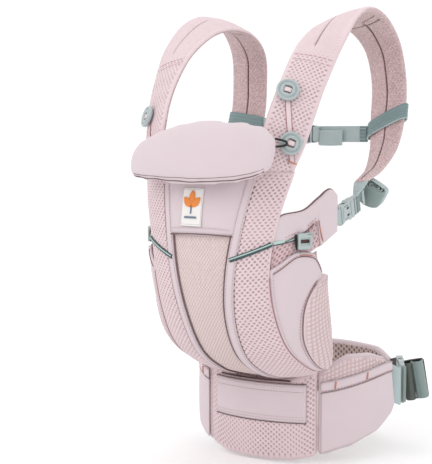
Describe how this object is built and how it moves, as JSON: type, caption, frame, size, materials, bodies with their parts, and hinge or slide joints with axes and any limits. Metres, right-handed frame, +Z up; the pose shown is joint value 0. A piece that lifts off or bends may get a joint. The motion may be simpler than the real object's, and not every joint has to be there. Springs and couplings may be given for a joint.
{
  "type": "soft structured baby carrier",
  "caption": "Soft baby carrier worn on the front: mesh panel on a padded waist belt, arched padded shoulder straps, folded head support, quick-release buckles.",
  "frame": {"origin": "centre of the waist loop, at the height of the belt's lower edge", "axes": "+Z up, the carrier's front panel faces -Y, the wearer stands in the waist loop on the +Y side of the panel, +X is the right side seen from the front"},
  "size_m": [0.3164, 0.4022, 0.5819],
  "materials": {
    "cover_fabric": "smooth woven",
    "air_mesh": "spacer mesh with oval holes",
    "sheer_mesh": "fine diamond mesh",
    "lining": "heathered jersey",
    "padding": "foam",
    "webbing_light": "ribbed webbing",
    "webbing_dark": "ribbed webbing",
    "pink_band": "woven elastic",
    "plastic_grey": "satin moulded",
    "rail_cord": "satin",
    "black_elastic": "woven elastic",
    "label_white": "woven"
  },
  "bodies": {
    "carrier": {"belt_foam": "padding", "belt_front_cover": "air_mesh", "belt_patch": "cover_fabric", "belt_pocket_left": "cover_fabric", "belt_pocket_right": "cover_fabric", "belt_size_strips": "cover_fabric", "belt_wing_cover_left": "air_mesh", "belt_wing_cover_right": "air_mesh", "button_bands": "pink_band", "hood_pocket": "cover_fabric", "label": "label_white", "leg_pad_left": "air_mesh", "leg_pad_right": "air_mesh", "lumbar_pad": "lining", "lumbar_tab": "webbing_light", "panel_bindings": "cover_fabric", "panel_centre_mesh": "sheer_mesh", "panel_liner": "lining", "panel_side_mesh_left": "air_mesh", "panel_side_mesh_right": "air_mesh", "roll_elastics": "black_elastic", "seat_rails": "rail_cord", "shoulder_strap_left": "air_mesh", "shoulder_strap_right": "air_mesh", "side_buckle_female_left": "plastic_grey", "side_buckle_female_right": "plastic_grey", "side_webbing_left": "webbing_light", "side_webbing_right": "webbing_light", "side_wing_left": "cover_fabric", "side_wing_right": "cover_fabric", "strap_foam": "padding", "thigh_panel_left": "cover_fabric", "thigh_panel_right": "cover_fabric", "waist_buckle_female": "plastic_grey", "waist_webbing_left": "webbing_light", "waist_webbing_right": "webbing_light", "webbing_roll_left": "webbing_dark", "webbing_roll_right": "webbing_dark", "wing_tabs": "webbing_light"},
    "head_support": {"head_support_cover": "cover_fabric", "head_support_foam": "padding", "head_loops": "black_elastic"},
    "chest_strap": {"chest_loops": "webbing_light", "chest_webbing_right": "webbing_light", "chest_webbing_left": "webbing_light", "chest_buckle_female": "plastic_grey"},
    "chest_plug": {"chest_buckle_male": "plastic_grey", "chest_webbing_tail": "webbing_dark"},
    "waist_plug": {"waist_buckle_male": "plastic_grey", "webbing_bundle": "webbing_dark", "bundle_elastic": "black_elastic"},
    "side_plug_right": {"side_buckle_male_right": "plastic_grey"},
    "seat_slide_right": {"seat_slider_right": "plastic_grey"},
    "button_upper_right": {"strap_button_upper_right": "plastic_grey"},
    "button_lower_right": {"strap_button_lower_right": "plastic_grey"},
    "side_plug_left": {"side_buckle_male_left": "plastic_grey"},
    "seat_slide_left": {"seat_slider_left": "plastic_grey"},
    "button_upper_left": {"strap_button_upper_left": "plastic_grey"},
    "button_lower_left": {"strap_button_lower_left": "plastic_grey"}
  },
  "joints": [
    {"name": "head_support_fold", "type": "hinge", "parent": "carrier", "child": "head_support", "pos_m": [0, -0.262, 0.358], "axis": [1, 0, 0], "range_deg": [0, 50]},
    {"name": "chest_strap_height", "type": "slide", "parent": "carrier", "child": "chest_strap", "axis": [0, 0.2111, 0.9775], "range_m": [0, 0.012]},
    {"name": "chest_buckle_release", "type": "slide", "parent": "chest_strap", "child": "chest_plug", "axis": [1, 0, 0], "range_m": [0, 0.02]},
    {"name": "waist_buckle_release", "type": "slide", "parent": "carrier", "child": "waist_plug", "axis": [0.4601, -0.8879, 0], "range_m": [0, 0.02]},
    {"name": "side_buckle_release_right", "type": "slide", "parent": "carrier", "child": "side_plug_right", "axis": [0, 0.9707, 0.2402], "range_m": [0, 0.02]},
    {"name": "seat_slider_right_slide", "type": "slide", "parent": "carrier", "child": "seat_slide_right", "axis": [-0.4811, -0.8766, 0], "range_m": [0, 0.016]},
    {"name": "button_upper_right_slide", "type": "slide", "parent": "carrier", "child": "button_upper_right", "axis": [-0.0505, -0.5297, -0.8467], "range_m": [0, 0.012]},
    {"name": "button_lower_right_slide", "type": "slide", "parent": "carrier", "child": "button_lower_right", "axis": [0.2145, 0.2963, 0.9307], "range_m": [0, 0.012]},
    {"name": "side_buckle_release_left", "type": "slide", "parent": "carrier", "child": "side_plug_left", "axis": [0, 0.9707, 0.2402], "range_m": [0, 0.02]},
    {"name": "seat_slider_left_slide", "type": "slide", "parent": "carrier", "child": "seat_slide_left", "axis": [0.4811, -0.8766, 0], "range_m": [0, 0.016]},
    {"name": "button_upper_left_slide", "type": "slide", "parent": "carrier", "child": "button_upper_left", "axis": [-0.1298, 0.3895, 0.9118], "range_m": [0, 0.012]},
    {"name": "button_lower_left_slide", "type": "slide", "parent": "carrier", "child": "button_lower_left", "axis": [-0.2145, 0.2963, 0.9307], "range_m": [0, 0.006]}
  ]
}
